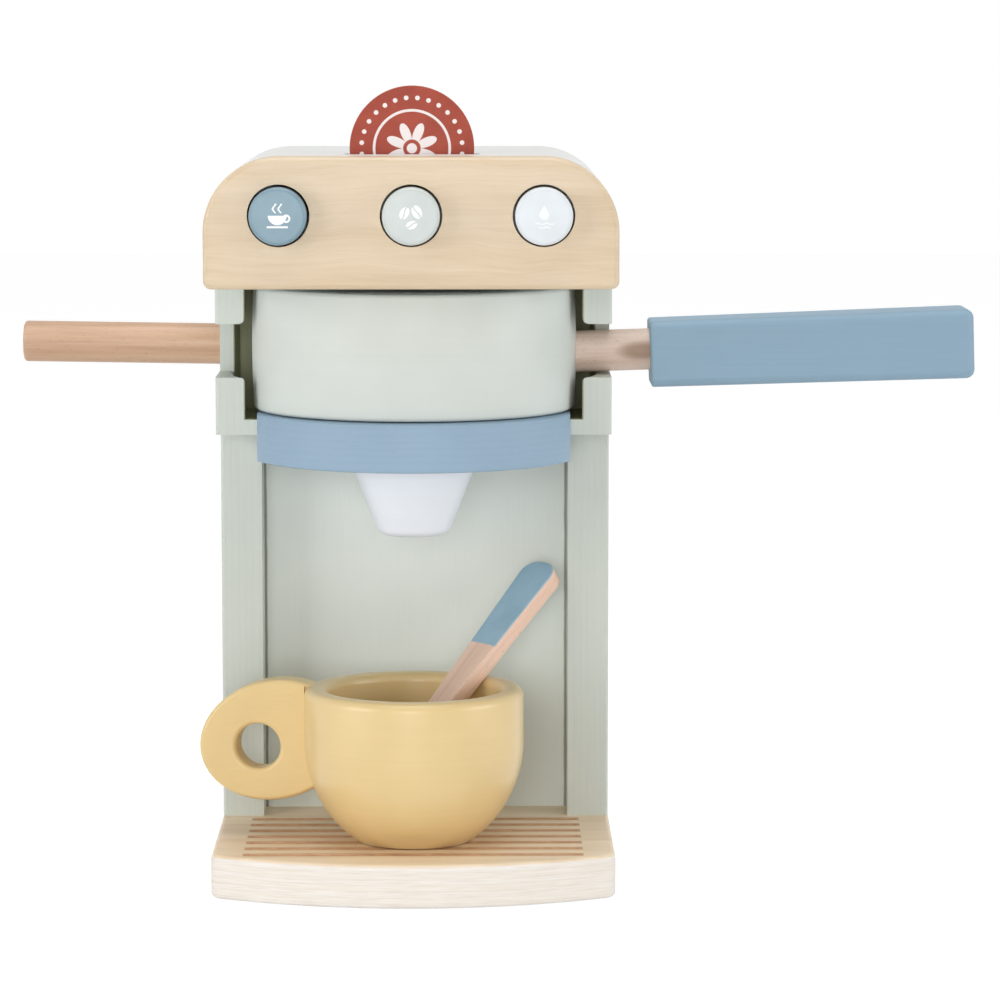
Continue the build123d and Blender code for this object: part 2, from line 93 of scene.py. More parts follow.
CUP_MIDDLE = middle_of("cup_bowl")
CUP_TOP = box_of("cup_bowl")[1].z
CUP_RADIUS = box_of("cup_bowl")[1].x
CUP_RIM_RADIUS = 2.5
EAR_BEARING = math.radians(170.0)
EAR_HALF_THICKNESS = 4.2
FILLER_SPREAD = 0.82    # of the ear's thickness, the rest being its rounded edges
FILLER_OVERLAP = 0.1    # into the bowl's rounded rim

# ---- paints and prints, as 0 to 255 display colours
SAGE = (203, 209, 201)
# The side panels' sage made lighter for the back panel: painted light for the niche between the
# side panels.
BACK_SAGE_LIGHTENED = (224, 230, 224)
DRUM_SAGE = (208, 214, 209)
HEAD_PALE = (226, 228, 225)
SHELF_BLUE = (147, 172, 193)
GRIP_BLUE = (136, 164, 183)
SPOUT_WHITE = (226, 231, 238)
CUP_YELLOW = (226, 199, 143)
EAR_YELLOW = (224, 196, 138)
LEFT_BUTTON_BLUE = (123, 151, 165)
MIDDLE_BUTTON_SAGE = (199, 206, 203)
RIGHT_BUTTON_WHITE = (219, 225, 229)
SIGN_WHITE = (244, 246, 247)
PAD_PRINT = (243, 238, 238)
# Painted shade for the seam where the back panel meets each side panel.
SEAM_SHADE = (104, 104, 84)
ZINC = (186, 187, 190)
SPRING_STEEL = (170, 171, 176)

# ---- woods, each in a pale, a middle and a dark tone
BASE_FACE = ((244, 226, 199), (238, 217, 187), (226, 201, 167))
PLATE_WOOD = ((221, 202, 175), (215, 194, 164), (206, 182, 150))
RAW_BEECH = ((224, 190, 160), (215, 177, 146), (200, 160, 128))
ROD_BEECH = ((210, 178, 150), (200, 165, 137), (184, 147, 118))
NECK_BEECH = ((230, 209, 194), (222, 198, 183), (206, 179, 162))
SPOON_BEECH = ((244, 212, 191), (236, 202, 180), (221, 184, 160))
ROD_FLECK = (150, 104, 74)
SPOON_FLECK = (160, 112, 86)
KNOT = (156, 125, 102)

# ---- studio
# Soft square lamps: bearing and height in degrees, distance and side in metres, and watts.
# A bearing of 0 is straight in front of the toy, and one of 90 is on its right.
LAMPS = {
    "front_softbox": (-4, 5, 1.5, 0.5, 5.6),
    "left_softbox": (-58, 10, 1.4, 0.8, 7.6),
    "right_softbox": (74, 8, 1.3, 0.8, 6.7),
    "top_softbox": (0, 85, 1.2, 0.8, 7.8),
}
LAMP_TARGET = Vector((0.0, 0.0, 0.1))
WHITE = (1.0, 1.0, 1.0, 1.0)
ROOM_TONE = (1.0, 0.99, 0.98, 1.0)
ROOM_STRENGTH = 0.27
FLOOR_HALF = 3.0
FLOOR_DROP = 0.2        # millimetres under the toy, so that the two faces don't coincide
FLOOR_TONE = (0.9, 0.9, 0.9, 1.0)
# The floor to the camera: a share of even white, and its own lit surface for the rest.
FLOOR_SHARE = 0.7
FLOOR_WHITE = 1.3
CAMERA_PLACE = (0.01439, -1.14905, 0.24083)
CAMERA_DROP = 6.703     # degrees down from level
CAMERA_TURN = -0.476    # degrees round the upright, anticlockwise from above
CAMERA_LENS = 149.87
CAMERA_SENSOR = 36.0
CAMERA_REACH = 20.0

SMOOTH_ANGLE = math.radians(32)
WELD_DISTANCE = 0.002 * MM


def linear(channel):
    """One 0 to 255 colour channel as light: the standard display curve, undone."""
    share = channel / 255.0
    return share / 12.92 if share <= 0.04045 else ((share + 0.055) / 1.055) ** 2.4


def colour(red, green, blue):
    """A 0 to 255 display tint as the colour that a shader's socket takes."""
    return (linear(red), linear(green), linear(blue), 1.0)


def shift(tint, *steps):
    """A tint moved by one step in all its channels, or by one step in each."""
    steps = steps * (3 // len(steps))
    return tuple(channel + step for channel, step in zip(tint, steps))


class Value:
    """A number or colour that varies over a surface; arithmetic on it adds Math nodes."""

    def __init__(self, nodes, socket):
        self.nodes = nodes
        self.socket = socket

    def maths(self, operation, *others):
        inputs = dict(enumerate((self,) + others))
        return self.nodes.node("ShaderNodeMath", {"operation": operation}, inputs)

    def __add__(self, other):
        return self.maths("ADD", other)

    def __radd__(self, other):
        return self.maths("ADD", other)

    def __mul__(self, other):
        return self.maths("MULTIPLY", other)

    def __rmul__(self, other):
        return self.maths("MULTIPLY", other)

    def __sub__(self, other):
        return self.maths("SUBTRACT", other)

    def __rsub__(self, other):
        return self.maths("MULTIPLY", -1.0) + other

    def __truediv__(self, other):
        return self.maths("DIVIDE", other)

    def __pow__(self, other):
        return self.maths("POWER", other)

    def size(self):
        return self.maths("ABSOLUTE")

    def sine(self):
        return self.maths("SINE")

    def root(self):
        return self.maths("SQRT")

    def most(self, other):
        return self.maths("MAXIMUM", other)

    def remainder(self, step):
        """What is left of the value after whole steps, from 0 to step."""
        return self.maths("FLOORED_MODULO", step)

    def over(self, low, high):
        """0 below low, 1 above high, and a smooth S between them."""
        inputs = {"Value": self, "From Min": low, "From Max": high}
        return self.nodes.node("ShaderNodeMapRange", {"interpolation_type": "SMOOTHSTEP"}, inputs)

    def under(self, low, high):
        """1 below low, 0 above high."""
        return 1.0 - self.over(low, high)

    def near(self, centre, half, soft):
        """1 within half of centre, falling to 0 over soft."""
        return (self - centre).size().under(half, half + soft)


class Nodes:
    """A node tree that is filled through one method."""

    def __init__(self, tree):
        self.tree = tree

    def node(self, kind, settings={}, inputs={}, output=0):
        """Any node: its settings first, then the values or links of its sockets. Gives the
        named output, or nothing for a node without one."""
        node = self.tree.nodes.new(kind)
        for name, value in settings.items():
            if name == "stops":
                ramp = node.color_ramp.elements
                ramp[0].position, ramp[0].color = value[0]
                ramp[1].position, ramp[1].color = value[-1]
                for position, tone in value[1:-1]:
                    ramp.new(position).color = tone
            else:
                setattr(node, name, value)
        for name, value in inputs.items():
            if isinstance(value, Value):
                self.tree.links.new(value.socket, node.inputs[name])
            else:
                node.inputs[name].default_value = value
        return Value(self, node.outputs[output]) if node.outputs else None


class Finish(Nodes):
    """One material: a Principled shader and the nodes that feed it. Places are in millimetres."""

    def __init__(self, name, roughness=0.5, specular=0.4, coat=0.0):
        self.material = bpy.data.materials.new(name)
        self.material.use_nodes = True
        super().__init__(self.material.node_tree)
        self.tone = None
        self.shader = self.tree.nodes["Principled BSDF"]
        self.shader.inputs["Roughness"].default_value = roughness
        self.shader.inputs["Specular IOR Level"].default_value = specular
        self.shader.inputs["Coat Weight"].default_value = coat
        self.shader.inputs["Coat Roughness"].default_value = 0.25
        place = self.node("ShaderNodeTexCoord", output="Object")
        self.place = self.node("ShaderNodeVectorMath", {"operation": "SCALE"},
                               {0: place, "Scale": 1.0 / MM})
        self.x, self.y, self.z = (
            self.node("ShaderNodeSeparateXYZ", {}, {0: self.place}, axis) for axis in range(3))

    def along(self, direction, through=(0, 0, 0)):
        """How far a point lies along a direction, counted from a place."""
        unit = Vector(direction).normalized()
        dot = self.node("ShaderNodeVectorMath", {"operation": "DOT_PRODUCT"},
                        {0: self.place, 1: tuple(unit)}, "Value")
        return dot - unit.dot(Vector(through))

    def noise(self, x, y, z, detail=3.0, rough=0.5, twist=0.0):
        """Noise from 0 to 1 with features one unit across in the three given values."""
        at = self.node("ShaderNodeCombineXYZ", {}, {0: x, 1: y, 2: z})
        inputs = {"Vector": at, "Scale": 1.0, "Detail": detail, "Roughness": rough,
                  "Distortion": twist}
        return self.node("ShaderNodeTexNoise", {}, inputs, "Fac")

    def speckle(self, spacing, detail=2.0):
        """Even noise with features of the given spacing in millimetres."""
        return self.noise(self.x / spacing, self.y / spacing, self.z / spacing, detail)

    def mix(self, share, first, second):
        """Second laid over first by share."""
        return self.node("ShaderNodeMix", {"data_type": "RGBA"}, {0: share, 6: first, 7: second}, 2)

    def ramp(self, value, *stops):
        """A colour ramp read at a value, with its stops as places and colours."""
        return self.node("ShaderNodeValToRGB", {"stops": stops}, {"Fac": value}, "Color")

    def fade(self, value, low, high, start=0.3, end=0.7):
        """From one tint to another as a value, such as noise, goes from start to end."""
        return self.ramp(value, (start, colour(*low)), (end, colour(*high)))

    def base(self, tone):
        """The paint's or wood's own colour, kept so that it can be laid over again."""
        self.tone = tone
        self.tree.links.new(tone.socket, self.shader.inputs["Base Color"])

    def rough(self, value):
        self.tree.links.new(value.socket, self.shader.inputs["Roughness"])

    def relief(self, height, depth):
        """A bump whose height of 0 to 1 stands for depth in millimetres."""
        inputs = {"Height": height, "Strength": 1.0, "Distance": depth * MM}
        bump = self.node("ShaderNodeBump", {}, inputs, "Normal")
        self.tree.links.new(bump.socket, self.shader.inputs["Normal"])


# ---- woods
def wood(finish, along, across, deep, tones):
    """Wood tones from noise drawn out along the grain: broad wavy stripes for seven tenths
    and finer fibres for three."""
    pale, middle, dark = (colour(*tone) for tone in tones)
    stripes = finish.noise(along / 70.0, across / 6.0, deep / 6.0, 3.0, 0.55, 0.4)
    fibre = finish.noise(along / 16.0, across / 0.5, deep / 0.5, 2.0)
    shade = stripes * 0.7 + fibre * 0.3
    return finish.ramp(shade, (0.32, dark), (0.5, middle), (0.66, pale))


def flecks(finish, along, across, deep, length, width):
    """Short pores along the grain: the highest peaks of a stretched noise."""
    pores = finish.noise(along / length, across / width, deep / width, 1.0)
    return pores.over(0.66, 0.76)


def layer_lines(height, thickness, start):
    """1 on the glue lines between a board's layers: where the height, in layers, is
    furthest from a layer's middle."""
    return ((height / thickness).remainder(1.0) - 0.5).size().over(start, 0.5)


def natural_board(name, tones):
    """The lacquered front plate: grain from side to side whose height follows slow waves,
    faint rings as the sine of that height, and open pores."""
    finish = Finish(name, roughness=0.45, specular=0.4, coat=0.15)
    wave = finish.noise(finish.x / 45.0, finish.y / 30.0, finish.z / 22.0, 2.0)
    height = finish.z + wave * 9.0
    dark = colour(*tones[2])
    tone = wood(finish, finish.x, height, finish.y, tones)
    rings = (height * 1.45).sine().over(0.4, 1.0)
    tone = finish.mix(rings * 0.1, tone, dark)
    pores = flecks(finish, finish.x, finish.z, finish.y, 2.6, 0.22)
    tone = finish.mix(pores * 0.12, tone, dark)
    finish.base(tone)
    finish.rough(0.42 + pores * 0.2)
    finish.relief(1.0 - pores, 0.02)
    return finish


def burnt_lines(finish):
    """1 in the milled lines on the base's top: near the middle of each of a counted row of
    equal steps from front to back, up to the lines' ends."""
    start = GROOVE_FRONT - GROOVE_PITCH / 2
    row = (finish.y - start).remainder(GROOVE_PITCH) - GROOVE_PITCH / 2
    lines = row.size().under(GROOVE_WIDTH * 0.5, GROOVE_WIDTH * 0.9)
    all_rows = GROOVE_PITCH * GROOVE_COUNT / 2
    counted = finish.y.near(start + all_rows, all_rows, 0.1)
    length = finish.x.size().under(GROOVE_HALF_LENGTH, GROOVE_HALF_LENGTH + 0.4)
    return lines * counted * length * finish.z.over(BASE_TOP - 1.4, BASE_TOP - 0.9)


def layered_board(name):
    """The base: plywood with pale layers on its edge, every second one a little warmer, a
    warm face and burnt lines on top."""
    finish = Finish(name, roughness=0.5, specular=0.35, coat=0.1)
    face = wood(finish, finish.x, finish.y, finish.z, BASE_FACE)
    wobble = finish.noise(finish.x / 14.0, finish.y / 14.0, finish.z / 40.0, 2.0) * 0.7
    height = finish.z + wobble
    line = layer_lines(height, BASE_LAYER, 0.36)
    second = (height / (2 * BASE_LAYER)).remainder(1.0).over(0.45, 0.55)
    streak = finish.noise(finish.x / 9.0, finish.y / 9.0, finish.z / 0.35, 3.0)
    edge = finish.fade(streak, (228, 219, 209), (239, 234, 227), 0.3, 0.6)
    edge = finish.mix(second * 0.25, edge, colour(236, 226, 212))
    edge = finish.mix(line * 0.2, edge, colour(212, 196, 172))
    top = finish.z.over(BASE_TOP - 0.9, BASE_TOP - 0.35)
    tone = finish.mix(top, edge, face)
    char = finish.noise(finish.x / 3.0, finish.y / 0.6, finish.z, 2.0)
    brown = finish.fade(char, (176, 128, 88), (202, 156, 116))
    finish.base(finish.mix(burnt_lines(finish) * 0.92, tone, brown))
    finish.relief(1.0 - line * (1.0 - top) * 0.7 - streak * 0.3, 0.05)
    return finish


def rod_wood(name, through, direction, tones, knot=None):
    """Beech turned to a rod: grain along it, many flecks, and a darker oval knot at one
    place along it, if one is given. The direction isn't straight up, because the other two
    are taken from it and the upright."""
    finish = Finish(name, roughness=0.5, specular=0.35, coat=0.08)
    unit = Vector(direction).normalized()
    side = unit.cross(Vector((0, 0, 1))).normalized()
    along = finish.along(unit, through)
    across = finish.along(side, through)
    over = finish.along(side.cross(unit), through)
    tone = wood(finish, along, across * 2.0, over * 2.0, tones)
    pores = flecks(finish, along, across, over, 1.6, 0.2)
    tone = finish.mix(pores * 0.5, tone, colour(*ROD_FLECK))
    if knot:
        oval = ((along - knot) / 9.0) ** 2.0 + (over / 3.2) ** 2.0
        tone = finish.mix(oval.under(0.05, 1.0) * 0.85, tone, colour(*KNOT))
    finish.base(tone)
    finish.relief(1.0 - pores, 0.03)
    return finish


# ---- paints and metal
def painted(name, tint, layers=None, grain="x", roughness=0.5, coat=0.0, depth=0.03):
    """Matt paint on wood: a faint mottle, the grain telegraphing through, and the lines of
    the plywood's layers across the given axis."""
    finish = Finish(name, roughness=roughness, specular=0.35, coat=coat)
    steps = [26.0 if axis == grain else 0.7 for axis in "xyz"]
    fibre = finish.noise(finish.x / steps[0], finish.y / steps[1], finish.z / steps[2], 3.0)
    shade = fibre * 0.45 + finish.speckle(18.0) * 0.55
    tone = finish.fade(shade, shift(tint, -3), shift(tint, 2))
    height = fibre
    if layers:
        across = {"x": finish.x, "z": finish.z}[layers]
        line = layer_lines(across + finish.speckle(22.0, 1.0) * 0.8, PANEL_LAYER, 0.38)
        tone = finish.mix(line * 0.07, tone, colour(*shift(tint, -40, -40, -42)))
        height = fibre * 0.4 + (1.0 - line) * 0.6
    grit = finish.speckle(0.5, 1.0)
    finish.base(tone)
    finish.rough(roughness - 0.04 + grit * 0.1)
    finish.relief(height + grit * 0.25, depth)
    return finish


def side_finish(name, tint):
    """The side panels' paint, with a dark olive painted shade where the seat for the drum is
    milled: inside its circle, above its floor and before its back end."""
    finish = painted(name, tint, "x", "z")
    reach = (finish.x ** 2.0 + (finish.y - SEAT_Y) ** 2.0).root()
    seat = reach.under(SEAT_RADIUS + 0.1, SEAT_RADIUS + 0.5)
    seat = seat * finish.z.over(SEAT_FLOOR - 0.3, SEAT_FLOOR - 0.1)
    seat = seat * finish.y.under(SEAT_BACK + 0.1, SEAT_BACK + 0.3)
    # Painted shade: a dark olive tone with a slow mottle, standing in for the shade in the gap
    # round the drum.
    seat_shade_noise = finish.noise(finish.x / 3.0, finish.y / 3.0, finish.z / 26.0, 3.0)
    board = finish.fade(seat_shade_noise, (134, 136, 104), (148, 149, 116))
    finish.base(finish.mix(seat, finish.tone, board))
    return finish


def back_finish(name, tint):
    """The back panel's paint, with a thin dark line of painted shade where it meets each side
    panel.
    """
    finish = painted(name, tint, None, "z")
    edge = box_of("back_panel")[1].x
    reach = finish.x.size() + finish.speckle(6.0, 1.0) * 0.3
    # Painted shade: the seam's dark line, laid over the paint near each side edge.
    joint = reach.over(edge - 0.75, edge - 0.35)
    finish.base(finish.mix(joint * 0.75, finish.tone, colour(*SEAM_SHADE)))
    return finish


def turned(name, tint, axis, roughness=0.4, coat=0.2):
    """Paint on a turned piece: noise over the height and the distance from its axis, which
    makes fine rings up its side and over its ends."""
    finish = Finish(name, roughness=roughness, specular=0.4, coat=coat)
    reach = ((finish.x - axis[0]) ** 2.0 + (finish.y - axis[1]) ** 2.0).root()
    cut = finish.noise(finish.z / 1.1, reach / 1.1, 0.0, 3.0)
    shade = cut * 0.3 + finish.speckle(20.0) * 0.7
    finish.base(finish.fade(shade, shift(tint, -4, -4, -5), shift(tint, 3)))
    finish.rough(roughness - 0.03 + cut * 0.06)
    finish.relief(cut, 0.01)
    return finish


def steel(name, tint):
    """Bright metal with a fine worn speckle."""
    finish = Finish(name, roughness=0.3, specular=0.5)
    finish.shader.inputs["Metallic"].default_value = 1.0
    worn = finish.speckle(0.4, 3.0)
    finish.base(finish.fade(worn, shift(tint, -20), tint))
    finish.rough(0.22 + worn * 0.2)
    return finish


# ---- prints, each drawn in millimetres from its own middle
def disc(u, v, centre, radius, soft=0.08):
    """1 inside a circle."""
    away = ((u - centre[0]) ** 2.0 + (v - centre[1]) ** 2.0).root()
    return away.under(radius - soft, radius + soft)


def ring(u, v, centre, radius, half, soft=0.08):
    """1 on a circle's line."""
    away = ((u - centre[0]) ** 2.0 + (v - centre[1]) ** 2.0).root()
    return (away - radius).size().under(half - soft, half + soft)


def bean(u, v, centre, long, short, lean):
    """A bean: an oval with a wavy seam left open along its middle."""
    c, s = math.cos(lean), math.sin(lean)
    p = (u - centre[0]) * c + (v - centre[1]) * s
    q = (v - centre[1]) * c - (u - centre[0]) * s
    oval = ((p / long) ** 2.0 + (q / short) ** 2.0).under(0.9, 1.08)
    seam = (q - (p * (2.4 / long)).sine() * (short * 0.24)).size().under(0.1, 0.26)
    return oval * (1.0 - seam)


def cup_sign(u, v):
    """A cup on a saucer with two curls of steam."""
    bowl = disc(u, v, (0.0, 0.3), 2.5) * v.under(0.2, 0.36)
    ear = ring(u, v, (2.35, -0.5), 0.85, 0.26) * u.over(1.6, 1.8)
    saucer = u.size().under(2.7, 2.9) * v.near(-2.75, 0.2, 0.12)
    sign = bowl.most(ear).most(saucer)
    for start in (-0.8, 0.7):
        curl = (u - start - (v * 2.3).sine() * 0.38).size().under(0.16, 0.32)
        sign = sign.most(curl * v.near(2.2, 1.15, 0.2))
    return sign


def beans_sign(u, v):
    """Three beans, leaning different ways."""
    first = bean(u, v, (-1.7, 0.9), 1.75, 1.2, math.radians(60))
    second = bean(u, v, (1.6, 1.2), 1.9, 1.3, math.radians(115))
    third = bean(u, v, (0.2, -2.2), 1.55, 1.1, math.radians(20))
    return first.most(second).most(third)


def drop_sign(u, v):
    """A drop over two ripples."""
    body = disc(u, v, (0.0, 0.5), 1.35)
    tip = (u.size() * 1.25 + (v - 0.9) * 0.72).under(1.45, 1.6) * v.over(0.8, 1.0)
    sign = body.most(tip)
    for low, wide in ((-1.9, 2.4), (-2.9, 1.5)):
        wave = (v - low - (u * 2.6).sine() * 0.16).size().under(0.16, 0.3)
        sign = sign.most(wave * u.size().under(wide, wide + 0.2))
    return sign


def button_finish(name, tint, piece, sign, strength):
    """Paint on a turned cap, with its sign printed on the front."""
    finish = Finish(name, roughness=0.38, specular=0.4, coat=0.2)
    middle = middle_of(piece)
    face = box_of(piece)[0].y
    grit = finish.speckle(0.6, 1.0)
    tone = finish.fade(finish.speckle(6.0), shift(tint, -4), shift(tint, 3))
    front = finish.y.under(face + 0.3, face + 0.5)
    mark = sign(finish.x - middle.x, finish.z - middle.z) * front
    finish.base(finish.mix(mark * strength, tone, colour(*SIGN_WHITE)))
    finish.rough(0.36 + grit * 0.08)
    finish.relief(mark * 0.6 + grit * 0.2, 0.03)
    return finish


def pad_finish(name, piece):
    """Red-brown paint with a printed rosette of petals, a thin ring and a circle of dots,
    drawn in the angle and the distance from the middle."""
    finish = Finish(name, roughness=0.5, specular=0.3)
    middle = middle_of(piece)
    u = finish.x - middle.x
    v = finish.z - middle.z
    away = (u ** 2.0 + v ** 2.0).root()
    angle = v.maths("ARCTAN2", u)
    petal = (angle * 4.0).sine().size()
    rosette = (away - petal * 4.6 - 2.6).under(-0.08, 0.08) * away.over(2.3, 2.46)
    heart = away.under(1.3, 1.45)
    line = (away - 10.2).size().under(0.28, 0.42)
    turn = 2.0 * math.pi / 28
    step = (angle + math.pi).remainder(turn) - turn / 2
    dots = ((step * 13.6) ** 2.0 + (away - 13.6) ** 2.0).root().under(0.55, 0.7)
    printed = rosette.most(heart).most(line).most(dots)
    faces = (finish.y - middle.y).size().over(PAD_FACE, PAD_FACE + 0.2)
    mottle = finish.speckle(7.0, 3.0)
    face = finish.fade(mottle, (154, 64, 48), (170, 75, 56))
    edge = finish.fade(mottle, (158, 66, 48), (176, 78, 58))
    tone = finish.mix(faces, edge, face)
    finish.base(finish.mix(printed * faces * 0.93, tone, colour(*PAD_PRINT)))
    finish.relief(finish.speckle(0.5, 1.0) * 0.3 + printed * faces * 0.5, 0.03)
    return finish


def spoon_finish(name):
    """Beech along the spoon, with paint on the two flat faces of its upper end."""
    finish = Finish(name, roughness=0.5, specular=0.35)
    along = Vector(SPOON_LEAN).normalized()
    facing = Vector((0, -1, 0))
    facing = (facing - along * facing.dot(along)).normalized()
    sideways = along.cross(facing)
    face = facing * math.cos(SPOON_TURN) - sideways * math.sin(SPOON_TURN)
    width = sideways * math.cos(SPOON_TURN) + facing * math.sin(SPOON_TURN)
    p = finish.along(along, SPOON_THROUGH)
    w = finish.along(width, SPOON_THROUGH)
    t = finish.along(face, SPOON_THROUGH)
    tone = wood(finish, p, w * 2.0, t * 2.0, SPOON_BEECH)
    pores = flecks(finish, p, w, t, 1.5, 0.2)
    tone = finish.mix(pores * 0.45, tone, colour(*SPOON_FLECK))
    paint = finish.fade(finish.speckle(8.0), (149, 181, 198), (160, 191, 208))
    ragged = finish.noise(w / 3.0, t, 0.0, 1.0) * 0.5
    cover = (p + ragged).over(SPOON_PAINT, SPOON_PAINT + 0.3)
    cover = cover * t.size().over(SPOON_FACE, SPOON_FACE + 0.2)
    finish.base(finish.mix(cover, tone, paint))
    finish.relief(1.0 - pores * (1.0 - cover), 0.03)
    return finish


# ---- the CAD nodes
def soft_shading():
    """A node group for a Geometry Nodes modifier: joins the loose corners and shades smooth
    across edges that turn by less than the given angle."""
    group = bpy.data.node_groups.new("soft_shading", "GeometryNodeTree")
    group.is_modifier = True
    for way in ("INPUT", "OUTPUT"):
        group.interface.new_socket("Geometry", in_out=way, socket_type="NodeSocketGeometry")
    nodes = Nodes(group)
    loose = nodes.node("NodeGroupInput")
    joined = nodes.node("GeometryNodeMergeByDistance", {},
                        {"Geometry": loose, "Distance": WELD_DISTANCE})
    turn = nodes.node("GeometryNodeInputMeshEdgeAngle", output="Unsigned Angle")
    gentle = nodes.node("FunctionNodeCompare", {"operation": "LESS_THAN"},
                        {"A": turn, "B": SMOOTH_ANGLE})
    edges = nodes.node("GeometryNodeSetShadeSmooth", {"domain": "EDGE"},
                       {"Geometry": joined, "Shade Smooth": gentle})
    faces = nodes.node("GeometryNodeSetShadeSmooth", {"domain": "FACE"}, {"Geometry": edges})
    nodes.node("NodeGroupOutput", {}, {0: faces})
    return group


def dress():
    """Gives each CAD node its finish and smooth shading."""
    neck_line = (math.cos(NECK_RISE), 0, math.sin(NECK_RISE))
    rod_line = (-math.cos(ROD_RISE), 0, math.sin(ROD_RISE))
    lengthways = rod_wood("raw_beech", (0, 0, 0), (0, 1, 0), RAW_BEECH)
    upright = rod_wood("raw_beech_upright", (0, 0, 0), (0.05, 0, 1), RAW_BEECH)
    crossing = rod_wood("raw_beech_crossing", (0, 0, 0), (1, 0, 0), RAW_BEECH)
    springs = steel("spring_wire", SPRING_STEEL)
    sides = side_finish("sage_side_paint", SAGE)
    head = painted("pale_head_paint", HEAD_PALE)
    finishes = {
        "base_board": layered_board("base_plywood"),
        "base_screws": steel("zinc", ZINC),
        "left_side_panel": sides,
        "right_side_panel": sides,
        # The back panel's sage is lightened: painted light.
        "back_panel": back_finish("sage_back_paint", BACK_SAGE_LIGHTENED),
        "shelf_plate": painted("shelf_paint", SHELF_BLUE, "z"),
        "shelf_dowels": crossing,
        "spout_cone": turned("spout_paint", SPOUT_WHITE, middle_of("spout_cone")),
        "spout_dowel": upright,
        "side_rod": rod_wood("rod_beech", ROD_THROUGH, rod_line, ROD_BEECH),
        "body_dowels": upright,
        "head_front_plate": natural_board("front_plate_wood", PLATE_WOOD),
        "head_spring_board": head,
        "head_slot_board": head,
        "head_rear_block": head,
        "head_dowels": lengthways,
        "button_left": button_finish("left_button_paint", LEFT_BUTTON_BLUE,
                                     "button_left", cup_sign, 0.95),
        "button_middle": button_finish("middle_button_paint", MIDDLE_BUTTON_SAGE,
                                       "button_middle", beans_sign, 0.85),
        "button_right": button_finish("right_button_paint", RIGHT_BUTTON_WHITE,
                                      "button_right", drop_sign, 0.6),
        "button_spring_left": springs,
        "button_spring_middle": springs,
        "button_spring_right": springs,
        "filter_drum": turned("drum_paint", DRUM_SAGE, NECK_THROUGH, 0.5, 0.0),
        "filter_neck": rod_wood("neck_beech", NECK_THROUGH, neck_line, NECK_BEECH, NECK_KNOT),
        "filter_grip": painted("grip_paint", GRIP_BLUE),
        "pad_in_filter": pad_finish("filter_pad_print", "pad_in_filter"),
        "pad_in_head": pad_finish("head_pad_print", "pad_in_head"),
        "cup_bowl": turned("cup_paint", CUP_YELLOW, CUP_MIDDLE, 0.36, 0.5),
        "cup_handle": painted("cup_ear_paint", EAR_YELLOW, roughness=0.4, coat=0.35, depth=0.02),
        "cup_dowel": crossing,
        "spoon": spoon_finish("spoon_beech"),
    }
    shading = soft_shading()
    for name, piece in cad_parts.items():
        for place in piece.material_slots:
            place.material = finishes[name].material
        modifier = piece.modifiers.new("soft_shading", "NODES")
        modifier.node_group = shading
    return finishes


def compress_springs():
    """Gives each coil spring a mesh of its own."""
    for side in ("left", "middle", "right"):
        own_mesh(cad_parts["button_spring_" + side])


def add_object(name, data):
    """A new object of the scene, at the origin."""
    thing = bpy.data.objects.new(name, data)
    bpy.context.scene.collection.objects.link(thing)
    return thing


def make_joint_filler(finish):
    """Painted filler between the bowl's rounded rim and the ear: the corner outside a quarter
    circle, carried round the cup's axis for as far as the ear is thick."""
    spread = math.asin(EAR_HALF_THICKNESS / CUP_RADIUS) * FILLER_SPREAD
    turn = EAR_BEARING + np.linspace(-spread, spread, 13)
    arc = np.linspace(0.0, math.pi / 2, 9)
    sunk = CUP_RIM_RADIUS - FILLER_OVERLAP
    reach = np.append(CUP_RADIUS - CUP_RIM_RADIUS + sunk * np.cos(arc), CUP_RADIUS)
    height = np.append(CUP_TOP - CUP_RIM_RADIUS + sunk * np.sin(arc), CUP_TOP)
    x = CUP_MIDDLE.x + np.outer(np.cos(turn), reach)
    y = CUP_MIDDLE.y + np.outer(np.sin(turn), reach)
    z = np.outer(np.ones_like(turn), height)
    rows, columns = x.shape
    places = np.stack([x, y, z], axis=-1).reshape(-1, 3) * MM
    first = np.arange(rows - 1)[:, None] * columns
    here = (first + np.arange(columns)).ravel()
    beside = (first + np.roll(np.arange(columns), -1)).ravel()
    sides = np.stack([here, here + columns, beside + columns, beside], axis=-1)
    ends = [list(range(columns)), list(range((rows - 1) * columns, rows * columns))[::-1]]
    mesh = bpy.data.meshes.new("cup_joint_filler")
    mesh.from_pydata(places.tolist(), [], sides.tolist() + ends)
    shape = bmesh.new()
    shape.from_mesh(mesh)
    bmesh.ops.recalc_face_normals(shape, faces=shape.faces)
    shape.to_mesh(mesh)
    shape.free()
    mesh.materials.append(finish.material)
    filler = add_object("cup_joint_filler", mesh)
    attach(filler, "cup")


# ---- studio
def seen_directly(nodes):
    """1 for what the camera sees, straight, mirrored or through glass, and 0 for diffuse light."""
    camera, mirrored, through = (
        nodes.node("ShaderNodeLightPath", output=ray)
        for ray in ("Is Camera Ray", "Is Glossy Ray", "Is Transmission Ray"))
    return camera.most(mirrored).most(through)


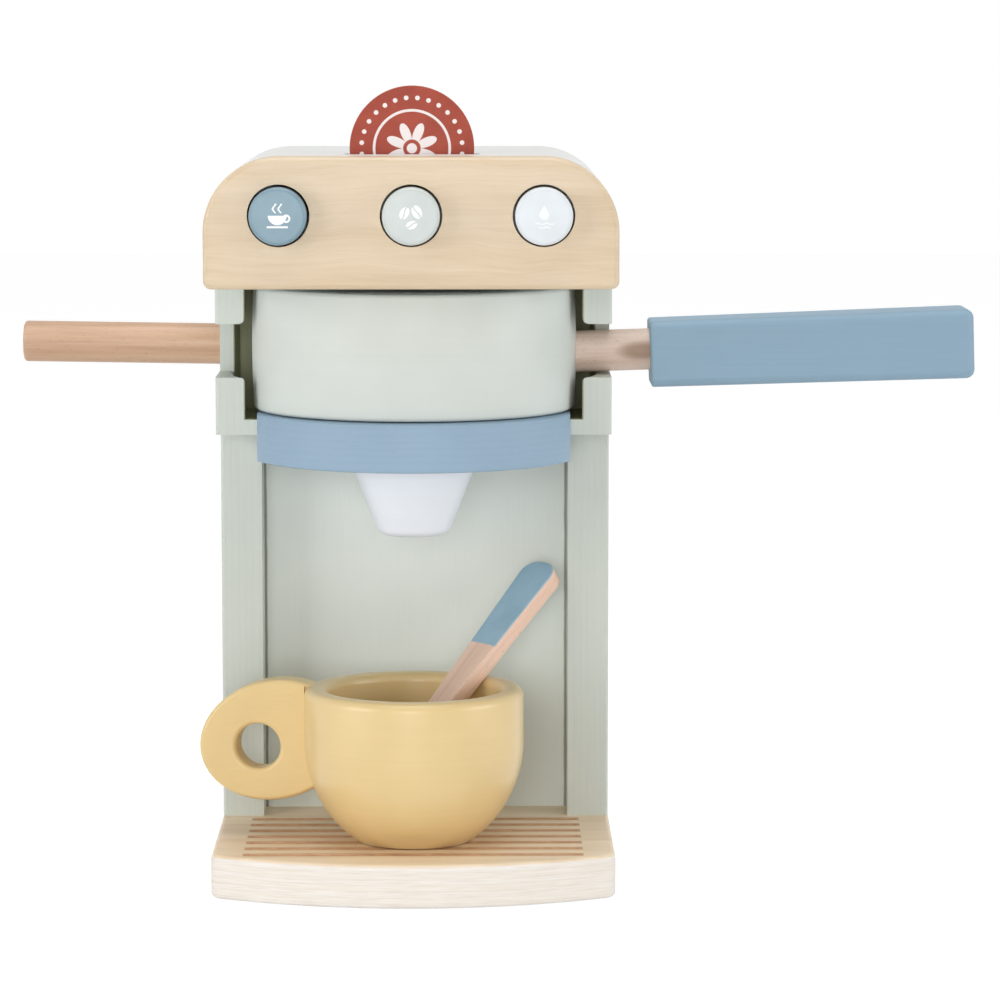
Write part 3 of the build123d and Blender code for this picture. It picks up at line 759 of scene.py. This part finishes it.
def make_floor():
    """A wide pale floor that is white to the camera, apart from the toy's soft shadow."""
    level = -FLOOR_DROP * MM
    turns = ((-1, -1), (1, -1), (1, 1), (-1, 1))
    corners = [(x * FLOOR_HALF, y * FLOOR_HALF, level) for x, y in turns]
    mesh = bpy.data.meshes.new("floor")
    mesh.from_pydata(corners, [], [(0, 1, 2, 3)])
    material = bpy.data.materials.new("floor_white")
    material.use_nodes = True
    material.node_tree.nodes.clear()
    nodes = Nodes(material.node_tree)
    matt = nodes.node("ShaderNodeBsdfDiffuse", {}, {"Color": FLOOR_TONE})
    bright = nodes.node("ShaderNodeEmission", {}, {"Color": WHITE, "Strength": FLOOR_WHITE})
    share = seen_directly(nodes) * FLOOR_SHARE
    surface = nodes.node("ShaderNodeMixShader", {}, {0: share, 1: matt, 2: bright})
    nodes.node("ShaderNodeOutputMaterial", {}, {"Surface": surface})
    mesh.materials.append(material)
    floor = add_object("floor", mesh)


def make_world():
    """An even white room, seen as pure white."""
    world = bpy.data.worlds.new("studio")
    bpy.context.scene.world = world
    world.use_nodes = True
    world.node_tree.nodes.clear()
    nodes = Nodes(world.node_tree)
    room = nodes.node("ShaderNodeBackground", {}, {"Color": ROOM_TONE, "Strength": ROOM_STRENGTH})
    white = nodes.node("ShaderNodeBackground", {}, {"Color": WHITE, "Strength": 1.0})
    surface = nodes.node("ShaderNodeMixShader", {}, {0: seen_directly(nodes), 1: room, 2: white})
    nodes.node("ShaderNodeOutputWorld", {}, {"Surface": surface})


def make_lamp(name, bearing, height, distance, side, watts):
    """A square soft lamp that faces the target from a bearing and a height round it."""
    bearing, height = math.radians(bearing), math.radians(height)
    level = math.cos(height)
    away = Vector((math.sin(bearing) * level, -math.cos(bearing) * level, math.sin(height)))
    data = bpy.data.lights.new(name, "AREA")
    data.shape = "SQUARE"
    data.size = side
    data.energy = watts
    turn = (-away).to_track_quat("-Z", "Y").to_matrix().to_4x4()
    lamp = add_object(name, data)
    lamp.matrix_world = Matrix.Translation(LAMP_TARGET + away * distance) @ turn


def make_camera():
    """The toy from its front, a little from above, with an unshifted lens."""
    data = bpy.data.cameras.new("camera")
    data.lens = CAMERA_LENS
    data.sensor_width = CAMERA_SENSOR
    data.clip_end = CAMERA_REACH
    camera = add_object("camera", data)
    camera.location = CAMERA_PLACE
    camera.rotation_euler = (math.radians(90 - CAMERA_DROP), 0, math.radians(CAMERA_TURN))
    bpy.context.scene.camera = camera


finishes = dress()
compress_springs()
make_joint_filler(finishes["cup_bowl"])
make_floor()
make_world()
for name, settings in LAMPS.items():
    make_lamp(name, *settings)
make_camera()
bpy.context.scene.view_settings.view_transform = "Standard"
